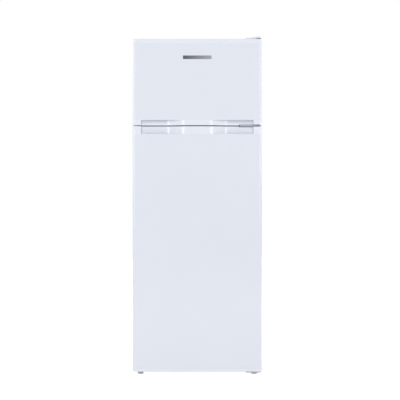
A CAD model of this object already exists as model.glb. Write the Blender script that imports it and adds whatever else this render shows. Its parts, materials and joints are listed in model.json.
"""The looks of a top-freezer refrigerator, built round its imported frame.

Shapes are made in millimetres and turned into metres as each mesh is made.
+X is the right-hand side seen from the front, +Y points to the back and +Z is up.
"""

import json
import math

import bmesh
import bpy
from mathutils import Matrix, Vector


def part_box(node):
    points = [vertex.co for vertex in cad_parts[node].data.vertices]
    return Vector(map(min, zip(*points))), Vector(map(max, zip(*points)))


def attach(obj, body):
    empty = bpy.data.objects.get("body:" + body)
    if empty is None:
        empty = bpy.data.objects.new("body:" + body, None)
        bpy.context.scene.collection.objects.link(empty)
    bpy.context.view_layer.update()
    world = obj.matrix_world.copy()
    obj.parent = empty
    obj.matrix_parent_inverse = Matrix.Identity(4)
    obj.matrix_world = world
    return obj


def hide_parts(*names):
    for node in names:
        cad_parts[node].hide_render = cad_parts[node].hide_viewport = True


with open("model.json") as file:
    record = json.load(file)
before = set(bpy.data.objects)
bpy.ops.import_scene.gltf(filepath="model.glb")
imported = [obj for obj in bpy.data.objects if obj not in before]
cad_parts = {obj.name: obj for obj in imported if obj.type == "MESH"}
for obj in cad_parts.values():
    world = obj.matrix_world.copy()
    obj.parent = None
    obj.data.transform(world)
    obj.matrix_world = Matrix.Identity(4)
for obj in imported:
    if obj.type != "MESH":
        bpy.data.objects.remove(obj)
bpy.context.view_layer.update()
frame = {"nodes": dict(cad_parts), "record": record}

MM = 0.001
UP, DOWN, FORWARD, BACK = (0, 0, 1), (0, 0, -1), (0, -1, 0), (0, 1, 0)
BODY = {node: body for body, nodes in frame["record"]["behaviour"]["bodies"].items() for node in nodes}
SLOT = {part["node"]: part["material_slot"] for part in frame["record"]["subparts"]}


def box_mm(node):
    """The lowest and highest corners of a CAD node, in millimetres."""
    low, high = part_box(node)
    return low / MM, high / MM


def middle_mm(node):
    """The middle of a CAD node's box, in millimetres."""
    low, high = box_mm(node)
    return (low + high) / 2


def placed(name, data):
    """A new object in the scene."""
    made = bpy.data.objects.new(name, data)
    bpy.context.scene.collection.objects.link(made)
    return made


# ---------- outlines and routes ----------
def spot(axis, u, v, w):
    """A point from its place in an outline and its level along the outline's axis."""
    return {"x": (w, u, v), "y": (u, w, v), "z": (u, v, w)}[axis]


def rounded(corners, inset=0.0, steps=5):
    """Points of an anticlockwise outline of (u, v, radius) corners, drawn in by an inset."""
    outline = []
    for i, (u, v, radius) in enumerate(corners):
        at = Vector((u, v))
        arriving = (at - Vector(corners[i - 1][:2])).normalized()
        leaving = (Vector(corners[(i + 1) % len(corners)][:2]) - at).normalized()
        turn = math.atan2(arriving.cross(leaving), arriving.dot(leaving))
        inner_a = Vector((-arriving.y, arriving.x))
        inner_b = Vector((-leaving.y, leaving.x))
        corner = at + (inner_a + inner_b) * inset / (1 + inner_a.dot(inner_b))
        if radius == 0:
            outline.append(corner)
            continue
        reach = max(radius - math.copysign(inset, turn), 0.02)
        start = corner - arriving * reach * math.tan(abs(turn) / 2)
        towards = inner_a * math.copysign(1, turn)
        for step in range(steps + 1):
            angle = abs(turn) * step / steps
            across, along = 1 - math.cos(angle), math.sin(angle)
            outline.append(start + (towards * across + arriving * along) * reach)
    return outline


def rectangle(u, v, radius):
    """Corners between two u and two v values."""
    return [(u[0], v[0], radius), (u[1], v[0], radius), (u[1], v[1], radius), (u[0], v[1], radius)]


def rim(level, radius, way, steps=3):
    """The (inset, level) pairs of a quarter-round rim, from its flat end to the side."""
    if radius == 0:
        return [(0, level)]
    angles = [math.pi / 2 * step / steps for step in range(steps + 1)]
    return [(radius * (1 - math.sin(a)), level + way * radius * (1 - math.cos(a))) for a in angles]


def circle(radius, sides=12):
    """Points of a regular outline round the origin."""
    turns = [2 * math.pi * i / sides for i in range(sides)]
    return [(radius * math.cos(a), radius * math.sin(a)) for a in turns]


def bent(corners, bend, steps=6):
    """A route through corners, with each corner turned on an arc of the same radius."""
    points = [Vector(corner) for corner in corners]
    route = [points[0]]
    for before, at, after in zip(points, points[1:], points[2:]):
        travel = (at - before).normalized()
        leaving = (after - at).normalized()
        turn = travel.angle(leaving)
        start = at - travel * bend * math.tan(turn / 2)
        inward = (leaving - travel * leaving.dot(travel)).normalized()
        for step in range(steps + 1):
            angle = turn * step / steps
            point = start + (inward * (1 - math.cos(angle)) + travel * math.sin(angle)) * bend
            if (point - route[-1]).length > 0.05:
                route.append(point)
    return [*route, points[-1]]


class Shape:
    """Surfaces that grow in millimetres and become one mesh."""

    def __init__(self):
        self.points = []
        self.faces = []

    def add(self, points, faces):
        base = len(self.points)
        self.points += [Vector(point) for point in points]
        self.faces += [[base + i for i in face] for face in faces]
        return self

    def copies(self, other, places):
        for place in places:
            self.add([place @ point for point in other.points], other.faces)
        return self

    def fastened(self, screw, direction, places):
        """Copies of a fastener made along +Z, all turned to face one direction."""
        turn = Vector(direction).to_track_quat("Z", "Y").to_matrix().to_4x4()
        return self.copies(screw, [Matrix.Translation(Vector(at)) @ turn for at in places])

    def loft(self, rings, closed=False):
        """Joins rings of equally many points: closed into a loop, or capped at both ends."""
        count = len(rings[0])
        faces = []
        for r in range(len(rings) if closed else len(rings) - 1):
            a, b = r * count, (r + 1) % len(rings) * count
            faces += [(a + i, a + (i + 1) % count, b + (i + 1) % count, b + i) for i in range(count)]
        if not closed:
            faces.append(range(count - 1, -1, -1))
            faces.append(range((len(rings) - 1) * count, len(rings) * count))
        return self.add([point for ring in rings for point in ring], faces)

    def stack(self, axis, corners, profile, steps=5, closed=False):
        """An outline at each (inset, level) pair of a profile, joined into one skin."""
        rings = []
        for inset, level in profile:
            rings.append([spot(axis, u, v, level) for u, v in rounded(corners, inset, steps)])
        return self.loft(rings, closed)

    def prism(self, axis, corners, low, high, edges=(0.4, 0.4), steps=5):
        """An outline run between two levels, with a rounded rim at each end."""
        profile = rim(low, edges[0], 1) + rim(high, edges[1], -1)[::-1]
        return self.stack(axis, corners, profile, steps)

    def block(self, low, high, radius=1.0, edge=None, axis="z", steps=3):
        """A box between two corners, its edges along one axis rounded, and its ends too."""
        u, v, w = {"x": (1, 2, 0), "y": (0, 2, 1), "z": (0, 1, 2)}[axis]
        ends = (radius if edge is None else edge,) * 2
        corners = rectangle((low[u], high[u]), (low[v], high[v]), radius)
        return self.prism(axis, corners, low[w], high[w], ends, steps)

    def turned(self, axis, centre, profile, sides=32, stretch=1.0, lobes=0, depth=0.0, closed=False):
        """A (radius, level) profile turned round an axis; lobes wave its surface by a depth."""
        rings = []
        for radius, level in profile:
            ring = []
            for i in range(sides):
                angle = 2 * math.pi * i / sides
                reach = radius + depth * math.cos(lobes * angle)
                ring.append(spot(axis, centre[0] + stretch * reach * math.cos(angle),
                                 centre[1] + reach * math.sin(angle), level))
            rings.append(ring)
        return self.loft(rings, closed)

    def sweep(self, route, section, up=None, closed=False):
        """A section of (side, up) points carried along a route."""
        route = [Vector(point) for point in route]
        last = len(route) - 1
        rings, side = [], None
        for i, at in enumerate(route):
            before = route[i - 1] if closed or i > 0 else at
            after = route[(i + 1) % len(route)] if closed or i < last else at
            travel = (after - before).normalized()
            if up:
                above = Vector(up)
                side = travel.cross(above).normalized()
            else:
                side = side or travel.orthogonal()
                side = (side - travel * side.dot(travel)).normalized()
                above = side.cross(travel)
            rings.append([at + side * a + above * b for a, b in section])
        return self.loft(rings, closed)

    def tube(self, route, radius, sides=12):
        return self.sweep(route, circle(radius, sides))

    def carved(self, *tools, operation="DIFFERENCE"):
        """This shape with each tool cut away, or joined on."""
        things = [placed("scratch", shape.mesh("scratch")) for shape in (self, *tools)]
        for tool in things[1:]:
            step = things[0].modifiers.new("carve", "BOOLEAN")
            step.operation = operation
            step.solver = "EXACT"
            step.object = tool
        result = things[0].evaluated_get(bpy.context.evaluated_depsgraph_get()).to_mesh()
        carved = Shape().add([v.co for v in result.vertices], [list(p.vertices) for p in result.polygons])
        for thing in things:
            mesh = thing.data
            bpy.data.objects.remove(thing)
            bpy.data.meshes.remove(mesh)
        return carved

    def joined(self, *others):
        return self.carved(*others, operation="UNION")

    def beside(self, *others):
        """Other closed solids kept whole, in the same mesh."""
        for other in others:
            self.add(other.points, other.faces)
        return self

    def mesh(self, name, scale=1.0):
        mesh = bpy.data.meshes.new(name)
        mesh.from_pydata([point * scale for point in self.points], [], self.faces)
        build = bmesh.new()
        build.from_mesh(mesh)
        bmesh.ops.recalc_face_normals(build, faces=build.faces)
        build.to_mesh(mesh)
        build.free()
        return mesh


# ---------- finishes ----------
NOISE_RANGE = (0.3, 0.7)  # where most of a noise's values lie


def noise(nodes, links, vector, size, detail=3.0):
    """A noise whose bumps are about size millimetres apart."""
    made = nodes.new("ShaderNodeTexNoise")
    made.inputs["Scale"].default_value = 1 / (size * MM)
    made.inputs["Detail"].default_value = detail
    links.new(vector, made.inputs["Vector"])
    return made.outputs["Fac"]


def mapped(nodes, links, value, source, target):
    """A value carried from one (low, high) range to another."""
    made = nodes.new("ShaderNodeMapRange")
    for name, number in zip(("From Min", "From Max", "To Min", "To Max"), (*source, *target)):
        made.inputs[name].default_value = number
    links.new(value, made.inputs["Value"])
    return made.outputs["Result"]


def blend(nodes, links, factor, first, second):
    """A colour that runs from first to second."""
    made = nodes.new("ShaderNodeMix")
    made.data_type = "RGBA"
    made.inputs["A"].default_value = (*first, 1)
    made.inputs["B"].default_value = (*second, 1)
    links.new(factor, made.inputs["Factor"])
    return made.outputs["Result"]


def finish(name, colour, roughness, mottle=0.02, mottle_size=140, smudge=0.06, grain=0.1, grain_size=2.5,
           stretch=(1, 1, 1), relief=0.4, second=None, **sockets):
    """A surface with uneven colour and gloss and a fine relief; sockets are the shader's own."""
    made = bpy.data.materials.new(name)
    made.use_nodes = True
    nodes, links = made.node_tree.nodes, made.node_tree.links
    shader = nodes["Principled BSDF"]
    coordinates = nodes.new("ShaderNodeTexCoord")
    mapping = nodes.new("ShaderNodeMapping")
    mapping.inputs["Scale"].default_value = stretch
    links.new(coordinates.outputs["Object"], mapping.inputs["Vector"])
    vector = mapping.outputs["Vector"]
    patches = mapped(nodes, links, noise(nodes, links, vector, mottle_size), NOISE_RANGE, (0, 1))
    darker = [value * (1 - mottle) for value in colour]
    lighter = second or [min(value * (1 + mottle), 1) for value in colour]
    links.new(blend(nodes, links, patches, darker, lighter), shader.inputs["Base Color"])
    smears = noise(nodes, links, vector, mottle_size * 0.6)
    gloss_range = (max(roughness - smudge, 0.02), roughness + smudge)
    gloss = mapped(nodes, links, smears, NOISE_RANGE, gloss_range)
    links.new(gloss, shader.inputs["Roughness"])
    bump = nodes.new("ShaderNodeBump")
    bump.inputs["Strength"].default_value = grain
    bump.inputs["Distance"].default_value = relief * MM
    links.new(noise(nodes, links, vector, grain_size, 2.0), bump.inputs["Height"])
    links.new(bump.outputs["Normal"], shader.inputs["Normal"])
    for socket, value in sockets.items():
        shader.inputs[socket.replace("_", " ").title().replace("Ior", "IOR")].default_value = value
    return made


FINISHES = {
    "white_steel": finish("gloss_white_enamel", (0.735, 0.765, 0.84), 0.16, 0.006, 300, smudge=0.02,
                          grain=0.04, grain_size=3, coat_weight=0.3, coat_roughness=0.1),
    "white_plastic": finish("satin_white_plastic", (0.765, 0.795, 0.87), 0.12, 0.012, 120, smudge=0.03,
                            grain=0.03, grain_size=1.2, relief=0.1),
    "liner_plastic": finish("gloss_liner_plastic", (0.80, 0.82, 0.86), 0.3, 0.006, 260, smudge=0.015,
                            grain=0.06, grain_size=6, relief=0.3),
    "zinc_steel": finish("galvanised_sheet", (0.47, 0.49, 0.51), 0.42, 0.22, 14, smudge=0.12, grain=0.08,
                         grain_size=7, metallic=1.0),
    "bright_steel": finish("plated_steel", (0.28, 0.32, 0.38), 0.34, 0.08, 25, smudge=0.08, grain=0.08,
                           grain_size=1.5, stretch=(0.15, 1, 1), metallic=0.85),
    "black_steel": finish("black_stoved_paint", (0.016, 0.016, 0.018), 0.38, 0.2, 60, smudge=0.1,
                          grain=0.15, grain_size=1.8),
    "black_plastic": finish("black_moulded_plastic", (0.02, 0.02, 0.022), 0.5, 0.15, 45, grain=0.2,
                            grain_size=0.9, relief=0.2),
    "copper": finish("drawn_copper", (0.62, 0.29, 0.17), 0.28, 0.18, 35, smudge=0.12, grain=0.06,
                     grain_size=2, second=(0.78, 0.42, 0.26), metallic=1.0),
    "aluminium": finish("rolled_aluminium", (0.70, 0.71, 0.72), 0.35, 0.06, 40, smudge=0.1, grain=0.12,
                        grain_size=1.2, stretch=(1, 1, 0.1), metallic=1.0),
    "foam": finish("polyurethane_foam", (0.72, 0.61, 0.34), 0.92, 0.1, 30, grain=0.7, grain_size=1.5,
                   relief=1.0),
    "gasket_rubber": finish("soft_white_vinyl", (0.62, 0.64, 0.67), 0.6, 0.04, 50, grain=0.15,
                            grain_size=1, relief=0.2),
    "clear_plastic": finish("clear_polystyrene", (0.93, 0.965, 1.0), 0.06, 0.004, 200, smudge=0.03,
                            grain=0.05, grain_size=9, transmission_weight=0.6, ior=1.45),
    "glass": finish("toughened_glass", (0.93, 0.98, 0.96), 0.04, 0.004, 300, smudge=0.02, grain=0.02,
                    grain_size=30, transmission_weight=0.88, ior=1.5),
    "grey_plastic": finish("grey_nylon", (0.40, 0.41, 0.43), 0.5, 0.06, 20, grain=0.2, grain_size=1,
                           relief=0.2),
    "badge_metal": finish("dark_anodised_bar", (0.10, 0.105, 0.125), 0.32, 0.1, 8, grain=0.1,
                          grain_size=0.8, stretch=(0.1, 1, 1), metallic=0.6),
}
RUBBER = finish("black_rubber", (0.025, 0.025, 0.027), 0.75, 0.2, 15, grain=0.3, grain_size=0.8)
OPAL = finish("frosted_bulb_glass", (0.92, 0.91, 0.86), 0.45, 0.02, 20, grain=0.05)
FROSTED = finish("frosted_lamp_cover", (0.93, 0.95, 0.96), 0.35, 0.01, 60, grain=0.05,
                 transmission_weight=0.35, ior=1.49)
PALE_ZINC = finish("pale_zinc_plate", (0.62, 0.64, 0.66), 0.4, 0.08, 20, smudge=0.06, grain=0.06,
                   grain_size=2, metallic=0.5)
PALE_NYLON = finish("pale_grey_nylon", (0.60, 0.61, 0.63), 0.5, 0.05, 20, grain=0.15, grain_size=1,
                    relief=0.2)
PRINT = finish("grey_print", (0.30, 0.32, 0.36), 0.5, 0.05, 5, grain=0.05)
BRASS = finish("brazed_brass", (0.66, 0.48, 0.20), 0.4, 0.2, 6, grain=0.2, metallic=1.0)


# ---------- pieces ----------
CREASE = math.radians(32)  # edges sharper than this stay sharp when shaded


def piece(name, body, shape, slot, look=None):
    """A finished mesh that rides on a CAD body."""
    mesh = shape.mesh(name, MM)
    mesh.shade_smooth()
    mesh.set_sharp_from_angle(angle=CREASE)
    mesh.materials.append(look or FINISHES[slot])
    made = placed(name, mesh)
    made.modifiers.new("even_shading", "WEIGHTED_NORMAL").keep_sharp = True
    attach(made, body)
    return made


def stand_in(node, make, *details, look=None):
    """A finished mesh that takes the place of a CAD node; make gives its shape."""
    made = piece(node + "_finished", BODY[node], make(node, *details), SLOT[node], look)
    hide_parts(node)


def dress(node, edge=0.3):
    """Keeps a CAD node's shape, softens its edges and gives it its slot's finish."""
    thing = frame["nodes"][node]
    thing.material_slots[0].material = FINISHES[SLOT[node]]
    thing.modifiers.new("weld", "WELD").merge_threshold = 0.01 * MM
    flat = thing.modifiers.new("flat_faces", "DECIMATE")
    flat.decimate_type = "DISSOLVE"
    flat.angle_limit = math.radians(1)
    bevel = thing.modifiers.new("soft_edges", "BEVEL")
    bevel.width = edge * MM
    bevel.segments = 2
    bevel.angle_limit = math.radians(40)


def hex_screw(across=8.0, head=3.5):
    """A hexagon head on its own washer flange, standing on z = 0."""
    flange = across * 0.72
    washer = [(flange, 0), (flange, 0.5), (flange - 0.5, 1), (across * 0.5, 1.1)]
    reach = across / 2 / math.cos(math.pi / 6)
    corners = [(x, y, 0.3) for x, y in circle(reach, 6)]
    shape = Shape().turned("z", (0, 0), washer, 24)
    return shape.prism("z", corners, 0.8, head, (0, 0.5), steps=2)


def cross_screw(radius=3.6):
    """A pan head with a cross recess, standing on z = 0."""
    dome = [(radius, 0), (radius, 0.6), (radius * 0.93, 1.3), (radius * 0.7, 1.9), (radius * 0.35, 2.2)]
    head = Shape().turned("z", (0, 0), dome, 24)
    arm, half = radius * 0.55, radius * 0.13
    across = Shape().block((-arm, -half, 0.9), (arm, half, 3), 0)
    along = Shape().block((-half, -arm, 0.9), (half, arm, 3), 0)
    return head.carved(across.joined(along))


HEX = hex_screw()
CROSS = cross_screw()


# ---------- doors ----------
CAP_RADIUS = (10.5, 8.5)  # of a door's plan outline, at its front and rear corners
SKIN_RADIUS = (10, 8)
SHEET = 1
RETURN_HALF = 255  # where the skin's narrow rear returns end
HINGE_X, HINGE_Y = middle_mm("fridge_door_bush").xy
JOINT_GROOVE = [(0.8, 0), (0.8, 0.4), (0.15, 0.6), (0, 0.9)]  # between a door's skin and a cap
# The grips' outlines from the middle of the doors outwards, and the level of their rear wall.
GRIP = {"outer": 235, "bend_in": 122, "bend_out": 58, "sweep": 60, "wall": -258}
POCKET = {"inner": 127, "outer": 229, "lip": -272, "depth": 14, "corner": 4}
HINGE_POCKET = {"left": 176, "right": 262.5, "depth": 3}
DYKE = {"inner": 190, "outer": 214, "rear": -182}  # the ridges inside a door that carry its bins
BADGE_RIBS = 12
ROOMS = {
    "freezer": {
        "floor": 1078, "ceiling": 1370, "rear": 185, "flange": (1078, 1384),
        "shelves": ("freezer_shelf",),
        "bins": ("freezer_door_bin_low", "freezer_door_bin_high"),
    },
    "fridge": {
        "floor": 85, "ceiling": 1030, "rear": 190, "flange": (81, 1030),
        "shelves": ("crisper_cover", "fridge_shelf_1", "fridge_shelf_2", "fridge_shelf_3"),
        "bins": ("fridge_door_bin_low", "fridge_door_bin_middle", "fridge_door_bin_high"),
    },
}


def door_outline(node, radii):
    """A door's plan as rounded corners, from its node's box."""
    low, high = box_mm(node)
    front, rear = radii
    return [(low.x, low.y, front), (high.x, low.y, front), (high.x, high.y, rear), (low.x, high.y, rear)]


def door_skin(node):
    """The painted wrap: a front, two round corners, two sides and narrow returns behind."""
    low, high = box_mm(node)
    front, rear = SKIN_RADIUS
    right, left = high.x, low.x
    inner_right, inner_left = right - SHEET, left + SHEET
    section = [
        (left, low.y, front), (right, low.y, front), (right, high.y, rear), (RETURN_HALF, high.y, 0),
        (RETURN_HALF, high.y - SHEET, 0), (inner_right, high.y - SHEET, rear - SHEET),
        (inner_right, low.y + SHEET, front - SHEET), (inner_left, low.y + SHEET, front - SHEET),
        (inner_left, high.y - SHEET, rear - SHEET), (-RETURN_HALF, high.y - SHEET, 0),
        (-RETURN_HALF, high.y, 0), (left, high.y, rear),
    ]
    return Shape().prism("z", section, low.z, high.z, (0.25, 0.25), steps=8)


def levels(edge, way, profile):
    """A profile measured from an edge, towards one end of a door."""
    return [(inset, edge + way * height) for inset, height in profile]


def cap_span(node, way):
    """The level of the skin's edge, the level of the cap's outer end and the height between."""
    outer = 1 if way > 0 else 0  # which corner of a box is at the cap's end
    edge = box_mm(BODY[node] + "_skin")[outer].z
    end = box_mm(node)[outer].z
    return edge, end, abs(end - edge)


def plain_cap(node, way):
    """A moulding with a soft outer rim round a shallow pan, and a blind hole for the hinge pin."""
    edge, _, height = cap_span(node, way)
    profile = JOINT_GROOVE + rim(height, 2.2, -1, 4)[::-1]
    profile += [(7, height), (7.4, height - 0.2), (7.8, height - 1.4), (8.4, height - 1.6)]
    body = Shape().stack("z", door_outline(node, CAP_RADIUS), levels(edge, way, profile), steps=8)
    hole = Shape().turned("z", (HINGE_X, HINGE_Y), levels(edge, way, [(5.5, 1.5), (5.5, height + 1)]), 24)
    return body.carved(hole)


def grip_outline(node):
    """The cap's outline with two finger recesses, square outside and flowing out to the middle."""
    low, high = box_mm(node)
    front_radius, rear_radius = CAP_RADIUS
    sweep = GRIP["sweep"]
    right_half = [
        (GRIP["bend_out"], low.y, sweep), (GRIP["bend_in"], GRIP["wall"], sweep),
        (GRIP["outer"], GRIP["wall"], 1.5), (GRIP["outer"] + 1, low.y, 1), (high.x, low.y, front_radius),
    ]
    left_half = [(-x, y, radius) for x, y, radius in right_half[::-1]]
    return left_half + right_half + [(high.x, high.y, rear_radius), (low.x, high.y, rear_radius)]


def grip_cap(node, way, soft):
    """The end cap with the finger grips: a web on the skin, a recessed body and pockets behind a lip.
    Soft is the radius of the rim that faces the other door."""
    edge, end, height = cap_span(node, way)
    web_profile = JOINT_GROOVE + [(0, 1.3), (0.08, 1.5), (0.3, 1.6)]
    body_profile = [(0.1, 1.2)] + rim(height, soft, -1, 5)[::-1]
    web = Shape().stack("z", door_outline(node, CAP_RADIUS), levels(edge, way, web_profile), steps=8)
    body = Shape().stack("z", grip_outline(node), levels(edge, way, body_profile), steps=8)
    lap = 0.2  # how far a pocket's housing reaches into the web
    housings, pockets = [], []
    for side in (-1, 1):
        left, right = sorted((side * POCKET["inner"], side * POCKET["outer"]))
        bottom, top = sorted((edge + way * lap, edge - way * (POCKET["depth"] + 1.5)))
        housings.append(Shape().block((left - 2, POCKET["lip"] - 1.5, bottom),
                                      (right + 2, GRIP["wall"] + 1.5, top), 4, 0.5))
        bottom, top = sorted((edge + way * 3, edge - way * POCKET["depth"]))
        pockets.append(Shape().block((left, POCKET["lip"], bottom), (right, GRIP["wall"], top),
                                     POCKET["corner"], 1.5))
    bottom, top = sorted((end - way * HINGE_POCKET["depth"], end + way))
    hinge = Shape().block((HINGE_POCKET["left"], -300, bottom), (HINGE_POCKET["right"], -200, top), 0)
    bore = Shape().turned("z", (HINGE_X, HINGE_Y), [(7.5, end - way * 18), (7.5, end + way)], 32)
    return web.joined(body, *housings).carved(*pockets, hinge, bore)


def hinge_bush(node, way):
    """A flanged bush; way is the side its flange stands on."""
    low, high = box_mm(node)
    start, height = low.z if way > 0 else high.z, high.z - low.z
    bore, barrel, flange = 4.7, 7, 11
    profile = [
        (bore + 0.5, 0), (barrel - 0.6, 0), (barrel, 0.6), (barrel, height - 2.5),
        (flange - 0.4, height - 2.5), (flange, height - 2.1), (flange, height - 0.6),
        (flange - 0.6, height), (bore + 0.6, height), (bore, height - 0.6), (bore, 0.5),
    ]
    return Shape().turned("z", (HINGE_X, HINGE_Y), levels(start, way, profile), 40, closed=True)


def door_gasket(node):
    """A magnetic seal: a foot, a bellows and a square magnet tube, mitred round the door."""
    low, high = box_mm(node)
    depth = high.y - low.y
    width = 14
    half = width / 2
    section = rounded([
        (-half, 0, 0.5), (half, 0, 0.5), (half - 0.6, 1.6, 0.5), (half - 3, 2.4, 0.8), (half - 3, 3.6, 0.8),
        (half - 0.6, 4.6, 0.8), (half - 0.2, depth, 1), (-half + 0.2, depth, 1), (-half + 0.6, 4.6, 0.8),
        (-half + 3, 3.6, 0.8), (-half + 3, 2.4, 0.8), (-half + 0.6, 1.6, 0.5),
    ], steps=3)
    loop = rounded(rectangle((low.x + half, high.x - half), (low.z + half, high.z - half), 5), steps=4)
    return Shape().sweep([(x, low.y, z) for x, z in loop], section, up=BACK, closed=True)


def door_liner(node, room):
    """The formed inner face: a flat border, a raised field and two dykes that carry the bins."""
    low, high = box_mm(node)
    face = low.y + 1.5
    shape = Shape().prism("y", rectangle((low.x, high.x), (low.z, high.z), 6), low.y, face, (0, 0.6))
    bottom, top = room["floor"] + 24, room["ceiling"] - 14
    foot = [(-4, face - 0.5), (-3.4, face + 0.6), (-1.6, face + 2.4), (-0.6, face + 5)]
    crest = rim(DYKE["rear"], 4, -1, 5)[::-1]
    for side in (-1, 1):
        across = sorted((side * DYKE["inner"], side * DYKE["outer"]))
        shape.stack("y", rectangle(across, (bottom, top), 5), foot + crest, steps=6)
    field = rectangle((-DYKE["inner"] + 8, DYKE["inner"] - 8), (bottom + 6, top - 6), 16)
    shape.stack("y", field, [(-1, face - 0.4), (0, face + 0.3), (0.8, face + 0.8)], steps=6)
    for name in room["bins"]:
        floor = box_mm(name)[0].z
        for side in (-1, 1):
            left, right = sorted((side * (DYKE["inner"] - 3), side * (DYKE["inner"] + 1.5)))
            shape.block((left, -222, floor - 8.5), (right, -196, floor - 0.5), 1.4)
    return shape


def tray(low, high, wall, corner, lip=3.0, draft=3.0, foot=6.0):
    """An open box of thin plastic: sloping sides, a round foot and a turned rim."""
    corners = rectangle((low.x, high.x), (low.y, high.y), corner)
    bottom, top = low.z, high.z
    outside = [(lip + draft + inset, level) for inset, level in rim(bottom, foot, 1, 4)]
    brim = [
        (lip, top - 6), (lip * 0.9, top - 5.4), (0.4, top - 5), (0, top - 4.5), (0, top - 0.8),
        (0.2, top - 0.2), (0.8, top), (lip + wall - 0.7, top), (lip + wall - 0.1, top - 0.3),
        (lip + wall, top - 1),
    ]
    inside = [(lip + draft + wall + inset, level) for inset, level in rim(bottom + wall, foot, 1, 4)][::-1]
    return Shape().stack("z", corners, outside + brim + inside, steps=6)


def bead(shape, x, y, level, half, radius):
    """A raised line across a face, between two x and two y values."""
    return shape.block((x[0], y[0], level - half), (x[1], y[1], level + half), radius, axis="x")


def door_bin(node):
    """A bin with two raised beads along the side that faces the room."""
    low, high = box_mm(node)
    shape = tray(low, high, 2, 14)
    for level in (high.z - 14, high.z - 20):
        bead(shape, (low.x + 24, high.x - 24), (high.y - 4.4, high.y - 2.2), level, 1, 0.9)
    return shape


def badge_bar(node):
    """A plain metal bar: a thin base under an even row of raised ribs."""
    low, high = box_mm(node)
    base = high.y - 0.6
    shape = Shape().prism("y", rectangle((low.x, high.x), (low.z, high.z), 1.5), base, high.y, (0.2, 0))
    pitch = (high.x - low.x) / BADGE_RIBS
    for i in range(BADGE_RIBS):
        left = low.x + i * pitch
        corners = rectangle((left + 1.4, left + pitch - 1.4), (low.z + 2, high.z - 2), 1)
        shape.prism("y", corners, low.y, base + 0.2, (0.5, 0), steps=3)
    return shape


def badge_look():
    """Anodised metal that lightens along the bar, from left to right."""
    low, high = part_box("badge")
    made = finish("graded_anodised_bar", (0.12, 0.125, 0.15), 0.34, grain=0.1, grain_size=0.8,
                  stretch=(0.1, 1, 1), metallic=0.35)
    nodes, links = made.node_tree.nodes, made.node_tree.links
    axes = nodes.new("ShaderNodeSeparateXYZ")
    links.new(nodes["Texture Coordinate"].outputs["Object"], axes.inputs["Vector"])
    along = mapped(nodes, links, axes.outputs["X"], (low.x, high.x), (0, 1))
    colour = blend(nodes, links, along, (0.075, 0.08, 0.10), (0.32, 0.33, 0.36))
    links.new(colour, nodes["Principled BSDF"].inputs["Base Color"])
    return made


for door in ("freezer_door", "fridge_door"):
    stand_in(door + "_skin", door_skin)
    stand_in(door + "_gasket", door_gasket)
    dress(door + "_foam")
stand_in("freezer_door_top_cap", plain_cap, 1)
stand_in("fridge_door_bottom_cap", plain_cap, -1)
stand_in("freezer_door_bottom_cap", grip_cap, -1, 2)
stand_in("fridge_door_top_cap", grip_cap, 1, 3.5)
stand_in("freezer_door_bush", hinge_bush, -1)
stand_in("fridge_door_bush", hinge_bush, 1)
for name, room in ROOMS.items():
    stand_in(name + "_door_liner", door_liner, room)
for name in ROOMS["freezer"]["bins"] + ROOMS["fridge"]["bins"]:
    stand_in(name, door_bin)
stand_in("badge", badge_bar, look=badge_look())


# ---------- hinges ----------
CABINET_FRONT = -216
FLANGE_INNER = 240  # where the front flanges of the cabinet's sides end


def pin(low, high):
    """The hinge pin, with chamfered ends."""
    return Shape().turned("z", (HINGE_X, HINGE_Y), [(3, low), (4, low + 1), (4, high - 1), (3, high)], 24)


def top_bracket(node):
    """A cranked plate bolted on the cabinet's top, with the freezer door's upper pin."""
    low, high = box_mm(node)
    front, rear = low.y, high.y
    plate = high.z - 3
    corners = [
        (206, rear, 3), (206, -206, 6), (238, -222, 6), (238, front, 4), (262, front, 7), (262, -214, 12),
        (252, rear, 3),
    ]
    shape = Shape().prism("z", corners, plate, high.z, (0.3, 0.5))
    shape.fastened(HEX, UP, [(247, y, high.z) for y in (-164, -200)])
    return shape.beside(pin(low.z, high.z - 0.5))


def top_cover(node):
    """A hollow cover: its top ramps up from the left, its right part stands clear of the door and a
    skirt laps down on its left."""
    low, high = box_mm(node)
    clear_from = 247
    outer = Shape().prism("y", [
        (low.x, low.z, 0.8), (high.x, low.z, 0.8), (high.x, high.z, 3), (243, high.z, 8),
        (226, low.z + 4.8, 8), (low.x + 0.5, low.z + 4.2, 1.5),
    ], low.y, high.y, (1.2, 1.2), steps=6)
    inner = Shape().prism("y", [
        (low.x + 2, low.z - 2, 0), (high.x - 2, low.z - 2, 0), (high.x - 2, high.z - 2, 2),
        (244, high.z - 2, 6), (227, low.z + 3, 6), (low.x + 3, low.z + 2.8, 0.5),
    ], low.y + 2, high.y - 2, (0.5, 0.5), steps=4)
    over_door = Shape().block((clear_from, low.y - 2, low.z - 2), (high.x + 2, -220, low.z + 3), 0)
    skirt = Shape().block((low.x + 2, low.y + 0.4, low.z - 1.2), (clear_from, low.y + 3, low.z + 2), 0.4)
    return outer.carved(inner, over_door).beside(skirt)


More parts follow.
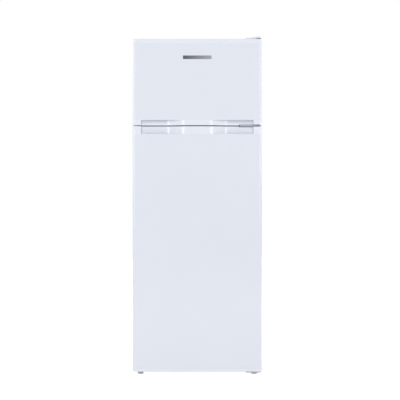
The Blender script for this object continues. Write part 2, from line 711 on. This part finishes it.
def middle_bracket(node):
    """A plate with a folded front lip, a screwed flange and a pin each way."""
    low, high = box_mm(node)
    bottom, top = 1052.5, 1055
    front, flange = low.y + 1.2, CABINET_FRONT - 3
    corners = [
        (low.x, CABINET_FRONT, 1), (low.x, front, 1), (257, front, 2), (high.x, -260, 2),
        (high.x, -246, 6), (FLANGE_INNER, -226, 6), (FLANGE_INNER, CABINET_FRONT, 1),
    ]
    shape = Shape().prism("z", corners, bottom, top, (0.4, 0.4))
    shape.block((low.x, low.y, bottom - 2.5), (256, low.y + 2.6, top + 3), 1.1)
    shape.block((low.x, flange, bottom - 7), (FLANGE_INNER, CABINET_FRONT, top + 7.5), 2.5, 0.5, axis="y")
    shape.fastened(CROSS, FORWARD, [(x, flange, bottom - 3.2) for x in (189, 226)])
    ring = [(6.4, bottom - 0.7), (6.8, bottom - 0.4), (6.8, top + 0.4), (6.4, top + 0.7)]
    shape.turned("z", (HINGE_X, HINGE_Y), ring, 32)
    return shape.beside(pin(low.z, high.z))


def bottom_bracket(node):
    """A stepped plate: a tongue under the door, a web and a rear plate bolted under the cabinet."""
    low, high = box_mm(node)
    foot = middle_mm("front_foot_right")
    thickness = 3
    fold = -200  # the rear face of the web
    tongue = Shape().prism("z", [
        (low.x, fold, 1), (low.x, low.y, 7), (high.x, low.y, 7), (high.x, fold, 1),
    ], low.z, low.z + thickness, (0.4, 0.4))
    web = Shape().block((low.x, fold - thickness, low.z), (high.x, fold, high.z), 1, 0.5, axis="x")
    outline = rectangle((low.x, high.x), (fold - thickness, high.y), 3)
    rear = Shape().prism("z", outline, high.z - thickness, high.z)
    wide_hole = Shape().turned("z", foot.xy, [(16, low.z - 4), (16, low.z + 9)], 40)
    stem_hole = Shape().turned("z", foot.xy, [(6, low.z - 4), (6, high.z + 4)], 32)
    shape = tongue.joined(web, rear).carved(wide_hole, stem_hole)
    shape.fastened(HEX, DOWN, [(x, -158, high.z - thickness) for x in (218, 254)])
    return shape.beside(pin(low.z, 30))


stand_in("top_hinge_bracket", top_bracket)
stand_in("top_hinge_cover", top_cover)
stand_in("middle_hinge_bracket", middle_bracket)
stand_in("bottom_hinge_bracket", bottom_bracket, look=PALE_ZINC)


# ---------- cabinet shell ----------
CABINET_HALF = 270
REAR_RETURN = 256  # where the rear returns of the cabinet's sides end


def side_panel(node, side):
    """A wall folded from one sheet, with round folds at its front flange and rear return."""
    low, high = box_mm(node)
    front, rear = low.y, high.y
    inner = CABINET_HALF - SHEET
    fold = [
        (FLANGE_INNER, front, 0.3), (CABINET_HALF, front, 2.5), (CABINET_HALF, rear, 2.5),
        (REAR_RETURN, rear, 0.3), (REAR_RETURN, rear - SHEET, 0.3), (inner, rear - SHEET, 1.5),
        (inner, front + SHEET, 1.5), (FLANGE_INNER, front + SHEET, 0.3),
    ]
    if side < 0:
        fold = [(-x, y, radius) for x, y, radius in fold[::-1]]
    return Shape().prism("z", fold, low.z, high.z, (0.2, 0.2), steps=6)


def top_panel(node):
    """A flat sheet with a strip folded down at the front and a shorter one at the rear."""
    low, high = box_mm(node)
    rear_fold, top = 1405, high.z - 0.5
    plate = rectangle((low.x, high.x), (low.y, high.y), 3)
    shape = Shape().prism("z", plate, high.z - SHEET, high.z, (0, 0.6), steps=6)
    shape.block((-FLANGE_INNER, low.y, low.z), (FLANGE_INNER, low.y + SHEET, top), 0.3, axis="x")
    shape.block((-REAR_RETURN, high.y - SHEET, rear_fold), (REAR_RETURN, high.y, top), 0.3, axis="x")
    return shape


def back_panel(node):
    """A zinc-coated sheet stiffened by pressed swages and held by a row of screws on each side."""
    low, high = box_mm(node)
    shape = Shape().block(low, high, 0.3)
    for level in range(420, 1301, 220):
        swage = rectangle((-190, 190), (level - 9, level + 9), 9)
        shape.stack("y", swage, [(0, high.y - 0.3), (1.5, high.y + 0.6), (4, high.y + 1.5)], steps=8)
    places = [(x, high.y, level) for x in (-248, 248) for level in range(260, 1400, 160)]
    return shape.fastened(CROSS, BACK, places)


stand_in("side_panel_left", side_panel, -1)
stand_in("side_panel_right", side_panel, 1)
stand_in("top_panel", top_panel)
stand_in("back_panel", back_panel)
for node in ("base_panel", "bottom_rail", "mullion_trim", "insulation_foam", "evaporator_plate"):
    dress(node)


# ---------- compartments ----------
ROOM_HALF = 222
ROOM_CORNER = 14
LINER = 1.5  # the liner's thickness
FLARE = 3.2  # the rounded entry of each compartment
STEP = {"y": 50, "z": 270}  # the fridge floor steps up over the machinery


def liner(node, room, step=None):
    """A formed tub: its walls, a rounded entry, a flange round it and ribs that carry the shelves."""
    front = box_mm(node)[0].y
    bottom, top = room["flange"]
    corners = rectangle((-ROOM_HALF, ROOM_HALF), (room["floor"], room["ceiling"]), ROOM_CORNER)
    rear = room["rear"]
    turns = [math.pi / 2 * i / 4 for i in range(5)]
    entry = [(FLARE * (math.sin(a) - 1), front + 1.2 + FLARE * (1 - math.cos(a))) for a in turns]
    walls = [(-FLARE, front - 2)] + entry + rim(rear, 9, -1, 5)[::-1]
    tub = Shape().stack("y", corners, walls, steps=6)
    shell_profile = [(-FLARE - LINER, front + 1.1), (-LINER, front + 7), (-LINER, rear + LINER)]
    shell = Shape().stack("y", corners, shell_profile, steps=6)
    if step:
        y, z = step["y"], step["z"]
        over = Shape().block((-300, y, 0), (300, 300, z), 10, 0, axis="x", steps=5)
        under = Shape().block((-299, y + LINER, 0), (299, 299, z - LINER), 9, 0, axis="x", steps=5)
        tub = tub.carved(over)
        shell = shell.carved(under)
    shape = shell.carved(tub)
    flange = Shape().block((-FLANGE_INNER, front, bottom), (FLANGE_INNER, front + 1.4, top), 0.3, axis="y")
    hole = Shape().stack("y", corners, [(-FLARE, front - 1), (-FLARE, front + 3)], steps=6)
    shape.beside(flange.carved(hole))
    for shelf in room["shelves"]:
        level = box_mm(shelf)[0].z
        for side in (-1, 1):
            left, right = sorted((side * (ROOM_HALF - 11), side * (ROOM_HALF + 0.8)))
            shape.block((left, -92, level - 5.5), (right, 182, level - 0.5), 2.2)
    return shape


def drain_gutter(room):
    """The moulded channel on the rear wall that leads meltwater to the drain."""
    y = room["rear"] - 7
    section = rounded(rectangle((-3.5, 3.5), (-3, 3), 2), steps=3)
    shape = Shape()
    for side in (-1, 1):
        shape.sweep([(side * 200, y, 330), (side * 18, y, 312)], section, up=BACK)
    return shape.turned("y", (0, 311), [(16, y - 3), (18, y - 1), (18, room["rear"] - 1)], 32)


stand_in("freezer_liner", liner, ROOMS["freezer"])
stand_in("fridge_liner", liner, ROOMS["fridge"], STEP)
piece("drain_gutter", "cabinet", drain_gutter(ROOMS["fridge"]), "liner_plastic")


# ---------- shelves, drawer and controls ----------
def glass_plate(node):
    """A pane that ends inside its front and rear trims."""
    low, high = box_mm(node)
    return Shape().block((low.x, low.y + 3, low.z), (high.x, high.y - 2, high.z), 3, 0.6)


def shelf_trims(node):
    """The moulded strips clipped on the front and rear edges of a glass shelf."""
    low, high = box_mm(node)
    under, over = low.z - 1.5, high.z + 1.6
    front = [(low.y, under, 2), (low.y + 17, under, 1), (low.y + 17, low.z - 0.2, 0.5),
             (low.y + 17, over, 0.7), (low.y + 8, over + 0.8, 1.5), (low.y, over + 0.8, 2.5)]
    rear = [(high.y - 11, under, 1), (high.y, under, 1), (high.y, high.z + 9, 1),
            (high.y - 2.5, high.z + 9, 1), (high.y - 4, over, 2), (high.y - 11, over, 0.7)]
    half = high.x - 8  # clear of the ribs that carry the glass
    shape = Shape().prism("x", front, -half, half, (0.8, 0.8))
    return shape.prism("x", rear, -half, half, (0.8, 0.8))


def wire_shelf(node):
    """A rim of thick wire with thinner bars welded across it."""
    low, high = box_mm(node)
    level = (low.z + high.z) / 2
    thick, thin, bars, margin = 2, 1.4, 29, 8
    loop = rounded(rectangle((low.x + thick, high.x - thick), (low.y + thick, high.y - thick), 12), steps=5)
    shape = Shape().sweep([(x, y, level) for x, y in loop], circle(thick), up=UP, closed=True)
    for y in (-40, 40, 120):
        shape.tube([(low.x + 2, y, level - 0.4), (high.x - 2, y, level - 0.4)], thick * 0.75, 10)
    pitch = (high.x - low.x - 2 * margin) / (bars - 1)
    for i in range(bars):
        x = low.x + margin + i * pitch
        shape.tube([(x, low.y + 1, level + 0.5), (x, high.y - 1, level + 0.5)], thin, 8)
    return shape


def crisper(node):
    """A deep drawer with a pull lip and two beads along its front."""
    low, high = box_mm(node)
    shape = tray(Vector((low.x, low.y + 5, low.z)), high, 2.5, 16, lip=2.5, draft=5, foot=10)
    shape.block((-90, low.y, high.z - 18), (90, low.y + 8, high.z - 0.5), 2.2, axis="x")
    for level in (low.z + 60, low.z + 72):
        bead(shape, (low.x + 40, high.x - 40), (low.y + 6.2, low.y + 9.5), level, 1.6, 1.4)
    return shape


def control_box(node):
    """The housing on the side wall: a dial seat, openings and low ribs behind the lamp's cover."""
    low, high = box_mm(node)
    lamp_low, lamp_high = box_mm("lamp_lens")
    dial = middle_mm("thermostat_knob")
    button = middle_mm("door_switch_button")
    body = Shape().block(low, high, 6, 3, axis="x", steps=5)
    outside = low.x - 1
    lamp = Shape().block((outside, lamp_low.y + 4, lamp_low.z + 4),
                         (214, lamp_high.y - 4, lamp_high.z - 4), 2, 0)
    stem = Shape().turned("x", (dial.y, dial.z), [(4.2, outside), (4.2, 206)], 24)
    switch = Shape().turned("y", (button.x, button.z), [(4.6, low.y - 1), (4.6, -150)], 24)
    seat_profile = [(20.5, outside), (20.5, low.x + 0.6), (20, low.x + 0.9)]
    seat = Shape().turned("x", (dial.y, dial.z), seat_profile, 48)
    shape = body.carved(lamp, stem, switch, seat)
    for level in range(5):
        z = low.z + 9 + level * 5
        shape.block((low.x - 0.6, lamp_low.y + 2, z), (low.x + 0.4, lamp_high.y - 2, z + 2), 0.5, axis="y")
    return shape


def dial_marks():
    """Raised strokes round the dial, longer as the setting grows colder."""
    low = box_mm("thermostat_housing")[0]
    dial = middle_mm("thermostat_knob")
    seat = Matrix.Translation((low.x - 0.1, dial.y, dial.z))
    upright = Matrix.Rotation(-math.pi / 2, 4, "Y")
    shape = Shape()
    for i in range(7):
        stroke = Shape().block((-0.45, 22, -0.3), (0.45, 24.5 + 0.6 * i, 0.3), 0.2)
        turn = Matrix.Rotation(math.radians(-135 + 45 * i), 4, "X")
        shape.copies(stroke, [seat @ turn @ upright])
    return shape


def knob(node):
    """A knurled dial with a raised grip across it."""
    low, high = box_mm(node)
    x = low.x
    y, z = middle_mm(node).yz
    dial = [(13, x + 3), (15.4, x + 3.3), (16, x + 4.2), (16.4, x + 12.2), (16, x + 13)]
    shape = Shape().turned("x", (y, z), dial, 144, lobes=36, depth=0.45)
    shape.turned("x", (y, z), [(3.5, x + 12), (3.5, high.x - 0.4), (3.1, high.x)], 24)
    return shape.block((x, y - 2.5, z - 14), (x + 6, y + 2.5, z + 14), 1.2)


def lens(node):
    """A frosted cover, open behind, with fine upright grooves."""
    low, high = box_mm(node)
    wall, margin, spaces = 2, 5, 10
    outer = Shape().block(low, high, 3, 2.5, axis="x", steps=4)
    inner = Shape().block((low.x + wall, low.y + wall, low.z + wall),
                          (high.x + 1, high.y - wall, high.z - wall), 1.5, 0.5, axis="x")
    pitch = (high.y - low.y - 2 * margin) / spaces
    grooves = Shape()
    for i in range(spaces + 1):
        y = low.y + margin + i * pitch
        grooves.block((low.x - 1, y - 0.6, low.z + 6), (low.x + 0.9, y + 0.6, high.z - 6), 0, axis="x")
    return outer.carved(inner, grooves)


def bulb(node):
    """A small pear of frosted glass on a screw cap."""
    base = box_mm(node)[0].y
    centre = middle_mm(node).xz
    corners = [(0.5, 14, 0), (8, 17, 4), (10.2, 27, 6), (8.5, 37, 6), (3, 42, 4), (0.5, 42, 0)]
    glass = [(min(max(radius, 0.4), 10), base + level) for radius, level in rounded(corners, steps=4)]
    thread = [(6.5 - 0.5 * (i % 2), base + 1 + i * 1.3) for i in range(11)]
    return Shape().turned("y", centre, glass, 28).turned("y", centre, [(3, base), *thread], 28)


def switch_button(node):
    """The plunger of the door switch, with a rounded tip."""
    low, high = box_mm(node)
    tip = [(2.4, low.y), (3.5, low.y + 0.5), (4, low.y + 1.6), (4, high.y)]
    return Shape().turned("y", middle_mm(node).xz, tip, 28)


for name in ("fridge_shelf_1", "fridge_shelf_2", "fridge_shelf_3", "crisper_cover"):
    stand_in(name, glass_plate)
    piece(name + "_trims", "cabinet", shelf_trims(name), "white_plastic")
stand_in("freezer_shelf", wire_shelf)
stand_in("crisper_drawer", crisper)
stand_in("thermostat_housing", control_box)
piece("thermostat_marks", "cabinet", dial_marks(), "grey_plastic", look=PRINT)
stand_in("thermostat_knob", knob)
stand_in("lamp_lens", lens, look=FROSTED)
stand_in("lamp_bulb", bulb, look=OPAL)
stand_in("door_switch_button", switch_button)


# ---------- machinery ----------
COIL = {"half": 225, "y": 272, "radius": 2.5, "bottom": 262, "pitch": 74, "runs": 15}


def foot(node):
    """A levelling foot: a knurled disc under a threaded stem."""
    centre = middle_mm(node).xy
    top = box_mm(node)[1].z
    disc = [(11.2, 0), (12.2, 0.6), (12.4, 1.8), (12.4, 10.2), (12, 11.4), (11, 12), (7, 12.4), (4.5, 12.6)]
    shape = Shape().turned("z", centre, disc, 96, lobes=16, depth=0.5)
    thread = [(4.4 - 0.55 * (i % 2), 12.2 + i * 0.85) for i in range(39)]
    return shape.turned("z", centre, [*thread, (3.4, top)], 20)


def roller(node):
    """A grooved wheel with a recessed web and hub."""
    low, high = box_mm(node)
    centre = middle_mm(node)
    half = (high.x - low.x) / 2
    profile = [
        (3.9, half - 1), (6.5, half - 0.6), (7, half - 1), (7.4, half - 3), (11.2, half - 3),
        (11.8, half - 0.8), (12.2, half - 0.3), (13.8, half), (14.6, half - 0.6), (15, half - 1.6),
        (15, 1), (14.4, 0.4),
    ]
    ring = [(radius, centre.x + level) for radius, level in profile]
    ring += [(radius, centre.x - level) for radius, level in profile[::-1]]
    return Shape().turned("x", (centre.y, centre.z), ring, 48, closed=True)


def compressor(node):
    """A domed pot of two pressed halves with a weld seam, on a pressed foot plate."""
    centre = middle_mm(node).xy
    top = box_mm(node)[1].z
    seam = 118  # the level of the weld
    profile = rounded([
        (0.5, 47, 0), (46, 47, 14), (58.5, 70, 30), (59, seam - 3, 0),
        (60, seam - 2.4, 0), (60, seam + 2.4, 0), (59, seam + 3.2, 0), (58, seam + 3.4, 0),
        (57.5, top - 34, 26), (44, top - 8, 26), (26, top, 30), (0.5, top, 0),
    ], steps=6)
    shape = Shape().turned("z", centre, profile, 64, stretch=1.2)
    plate = Shape().block((centre.x - 78, centre.y - 50, 44), (centre.x + 78, centre.y + 50, 46.5), 14, 0.8)
    shape.beside(plate)
    for side in (-1, 1):
        x = centre.x + side * 77
        right = x + 1.3 if side < 0 else x + 1
        shape.block((x - 1.3, centre.y - 34, 44.5), (right, centre.y + 34, 52), 1)
    return shape


def rubber_mounts():
    """Ribbed rubber grommets under the compressor's foot plate, and their bolts."""
    centre = middle_mm("compressor")
    floor = box_mm("compressor")[0].z
    profile = [
        (9, 0), (10.5, 1), (10.5, 4), (7.5, 5), (7.5, 7), (10, 8), (10, 11), (8, 12), (8, 16.5),
        (6.5, 17.5),
    ]
    grommet = Shape().turned("z", (0, 0), profile, 28)
    places = []
    for x in (centre.x - 66, centre.x + 66):
        for y in (centre.y - 38, centre.y + 38):
            places.append(Matrix.Translation((x, y, floor)))
    bolts = Shape().copies(HEX, [place @ Matrix.Translation((0, 0, 17.2)) for place in places])
    return Shape().copies(grommet, places), bolts


def pipe_stubs():
    """The compressor's three short pipes: suction, discharge and charging."""
    x, y = middle_mm("compressor").xy
    suction = box_mm("suction_line")[0].x
    charging = [(x + 30, y + 44, 92), (x + 30, y + 64, 92), (x + 30, y + 64, 128)]
    shape = Shape()
    shape.tube([(x + 58, y + 20, 95), (suction + 6, y + 20, 95)], 3.9, 16)
    shape.tube([(x - 50, y + 30, 100), (x - 50, y + 47, 100)], 3.1, 16)
    return shape.tube(bent(charging, 6), 3, 16)


def relay(node):
    """The cover over the compressor's terminals, with ribs on its rear face."""
    low, high = box_mm(node)
    shape = Shape().block(low, (high.x, high.y - 1.5, high.z), 5, 3, axis="y", steps=5)
    for i in range(5):
        x = low.x + 7 + i * 5.5
        shape.block((x, high.y - 2.5, low.z + 8), (x + 2, high.y, high.z - 8), 0.8)
    return shape


def gland(node):
    """A grommet with a groove that seats it in the rear lip."""
    y = box_mm(node)[0].y
    ring = [
        (3.5, y + 0.6), (4.2, y), (7.2, y), (8, y + 0.8), (8, y + 3.2), (5.7, y + 3.6), (5.7, y + 6.4),
        (8, y + 6.8), (8, y + 8.6), (6.6, y + 10), (4.2, y + 10), (3.5, y + 9.4),
    ]
    return Shape().turned("y", middle_mm(node).xz, ring, 36, closed=True)


def coil_route():
    """Corners of the tube that runs to and fro up the back."""
    half, y = COIL["half"], COIL["y"]
    corners = [(-half, y, COIL["bottom"])]
    for run in range(COIL["runs"]):
        z = COIL["bottom"] + run * COIL["pitch"]
        end = half if run % 2 == 0 else -half
        if run:
            corners.append((-end, y, z))
        corners.append((end, y, z))
    return corners


TUBES = {  # route, bend, radius and sides
    "condenser_coil": (coil_route(), COIL["pitch"] / 2, COIL["radius"], 14),
    "suction_line": ([(154, 190, 95), (195, 190, 95), (195, 254, 95), (195, 254, 640)], 14, 3.2, 16),
    "discharge_line": (
        [(30, 216, 100), (30, 234, 100), (-190, 234, 100), (-190, 268, 100), (-190, 268, 255)], 12, 2.5, 14,
    ),
}


def tube_line(node):
    """A tube along its route, with all its corners bent on one radius."""
    route, bend, radius, sides = TUBES[node]
    return Shape().tube(bent(route, bend, 8), radius, sides)


def wires(node):
    """Upright wires welded on both faces of the coil, two cross bars and their bracket ends."""
    rear = box_mm(node)[1].y
    wall = 248  # the outer face of the back panel
    radius, count, span = 0.9, 43, 420
    rows = (rear - radius, COIL["y"] - COIL["radius"] - radius + 0.3)
    shape = Shape()
    for i in range(count):
        x = -span / 2 + i * span / (count - 1)
        shape.tube([(x, rows[i % 2], 240), (x, rows[i % 2], 1330)], radius, 6)
    for z in (307, 1255):
        shape.tube([(-240, rear - radius - 0.8, z), (240, rear - radius - 0.8, z)], 1.6, 10)
        for side in (-1, 1):
            left, right = sorted((side * 230, side * 240))
            shape.block((left, wall, z - 7), (right, wall + 1.5, z + 7), 1.5, 0.3, axis="y")
            shape.block((left, wall, z - 7), (left + 1.5, rear - 0.5, z + 7), 0.6)
            shape.fastened(CROSS, BACK, [(side * 235, wall + 1.3, z)])
    return shape


def dryer(node):
    """A spun copper drum with drawn-down ends."""
    low, high = box_mm(node)
    centre = middle_mm(node).xy
    profile = rounded([
        (0.5, low.z, 0), (2, low.z, 0), (2, low.z + 9, 3), (9, low.z + 20, 6), (9, low.z + 28, 0),
        (8.3, low.z + 29, 0), (8.3, low.z + 31, 0), (9, low.z + 32, 0), (9, high.z - 24, 8),
        (2, high.z - 8, 4), (2, high.z, 0), (0.5, high.z, 0),
    ], steps=4)
    return Shape().turned("z", centre, profile, 32)


def capillary():
    """A hair-thin tube that winds a few turns above the dryer and goes into the cabinet's back."""
    top = box_mm("filter_dryer")[1].z
    x, y = middle_mm("filter_dryer").xy
    turns, steps, radius, rise = 5, 24, 14, 2.4
    route = [(x, y, top - 6)]
    for i in range(turns * steps + 1):
        angle = math.pi + 2 * math.pi * i / steps
        across, along = radius * math.cos(angle), radius * math.sin(angle)
        route.append((x + radius + across, y + along, top + 4 + i * rise / steps))
    route += [(x, y - 4, 225), (x + 4, y - 8, 231)]
    return Shape().tube(route, 1.1, 8)


def collars():
    """Brazed sleeves where the copper lines meet the compressor, the coil and the cabinet."""
    shape = Shape()
    places = (("x", (190, 95), 160, 4.4), ("y", (30, 100), 222, 3.6), ("z", (-190, 268), 246, 3.6),
              ("z", (195, 254), 600, 4.4))
    for axis, centre, level, radius in places:
        end = radius - 0.6
        sleeve = [(end, level - 5), (radius, level - 4), (radius, level + 4), (end, level + 5)]
        shape.turned(axis, centre, sleeve, 20)
    return shape


def melt_tray(node):
    """The tray over the compressor in which the meltwater dries up."""
    low, high = box_mm(node)
    return tray(low, high, 2, 14, foot=5)


for side in ("left", "right"):
    stand_in("front_foot_" + side, foot, look=PALE_NYLON)
    stand_in("rear_roller_" + side, roller)
dress("compressor_base_plate", 0.5)
stand_in("compressor", compressor)
grommets, bolts = rubber_mounts()
piece("compressor_grommets", "cabinet", grommets, "black_plastic", look=RUBBER)
piece("compressor_bolts", "cabinet", bolts, "bright_steel")
piece("compressor_pipe_stubs", "cabinet", pipe_stubs(), "copper")
stand_in("relay_cover", relay)
stand_in("cord_gland", gland, look=RUBBER)
stand_in("condenser_coil", tube_line)
stand_in("condenser_wires", wires)
stand_in("filter_dryer", dryer)
piece("capillary_tube", "cabinet", capillary(), "copper")
stand_in("suction_line", tube_line)
stand_in("discharge_line", tube_line)
piece("brazed_collars", "cabinet", collars(), "copper", look=BRASS)
stand_in("evaporation_tray", melt_tray)


# ---------- stage ----------
EYE = Vector((0.0115, -4.776, 0.7415))  # level with the middle of the doors, 4.5 m in front of them
FRAME_WIDTH = 1.68  # the width of the view at the doors' faces, in metres
WHITE = (1, 1, 1, 1)


def camera():
    """A level camera that looks straight at the doors."""
    lens = bpy.data.cameras.new("camera")
    lens.sensor_width = 36
    lens.lens = lens.sensor_width * (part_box("fridge_door_skin")[0].y - EYE.y) / FRAME_WIDTH
    made = placed("camera", lens)
    made.location = EYE
    made.rotation_euler = (math.pi / 2, 0, 0)
    bpy.context.scene.camera = made


def softbox(name, at, aim, size, power):
    """A rectangular area lamp that faces its aim."""
    lamp = bpy.data.lights.new(name, "AREA")
    lamp.shape = "RECTANGLE"
    lamp.size, lamp.size_y = size
    lamp.energy = power
    made = placed(name, lamp)
    made.location = at
    made.rotation_euler = (Vector(aim) - Vector(at)).to_track_quat("-Z", "Y").to_euler()


def floor():
    """A wide pale floor that looks white to the camera but lights the object less."""
    reach = 9
    corners = [(-reach, -reach, 0), (reach, -reach, 0), (reach, reach, 0), (-reach, reach, 0)]
    mesh = bpy.data.meshes.new("floor")
    mesh.from_pydata(corners, [], [(0, 1, 2, 3)])
    pale = finish("pale_floor", (0.5, 0.5, 0.5), 0.7, 0.004, 900, grain=0.02, grain_size=6,
                  emission_color=WHITE)
    nodes, links = pale.node_tree.nodes, pale.node_tree.links
    seen = nodes.new("ShaderNodeLightPath").outputs["Is Camera Ray"]
    glow = mapped(nodes, links, seen, (0, 1), (0.37, 0.9))
    links.new(glow, nodes["Principled BSDF"].inputs["Emission Strength"])
    mesh.materials.append(pale)
    placed("floor", mesh)


def studio():
    """A white backdrop all round that lights softly, with softboxes in front and one behind."""
    world = bpy.data.worlds.new("studio")
    world.use_nodes = True
    nodes, links = world.node_tree.nodes, world.node_tree.links
    seen = nodes["Background"]
    seen.inputs["Color"].default_value = WHITE
    glow = nodes.new("ShaderNodeBackground")
    glow.inputs["Color"].default_value = WHITE
    glow.inputs["Strength"].default_value = 0.42
    mixed = nodes.new("ShaderNodeMixShader")
    links.new(nodes.new("ShaderNodeLightPath").outputs["Is Camera Ray"], mixed.inputs["Fac"])
    links.new(glow.outputs["Background"], mixed.inputs[1])
    links.new(seen.outputs["Background"], mixed.inputs[2])
    links.new(mixed.outputs["Shader"], nodes["World Output"].inputs["Surface"])
    bpy.context.scene.world = world
    bpy.context.scene.view_settings.view_transform = "Standard"
    aim = (0, 0, 0.75)
    for side in (-1, 1):
        softbox("front_softbox", (side * 1.6, -4.4, 1.5), aim, (1.3, 1.8), 30)
        softbox("side_softbox", (side * 4.6, 0.4, 2.0), aim, (2.2, 2.2), 60)
    softbox("high_softbox", (0, -6.4, 4.4), (0, 0, 0.5), (3.2, 1.4), 105)
    softbox("rear_softbox", (-1.5, 4.2, 2.6), aim, (1.6, 1.6), 45)


camera()
studio()
floor()
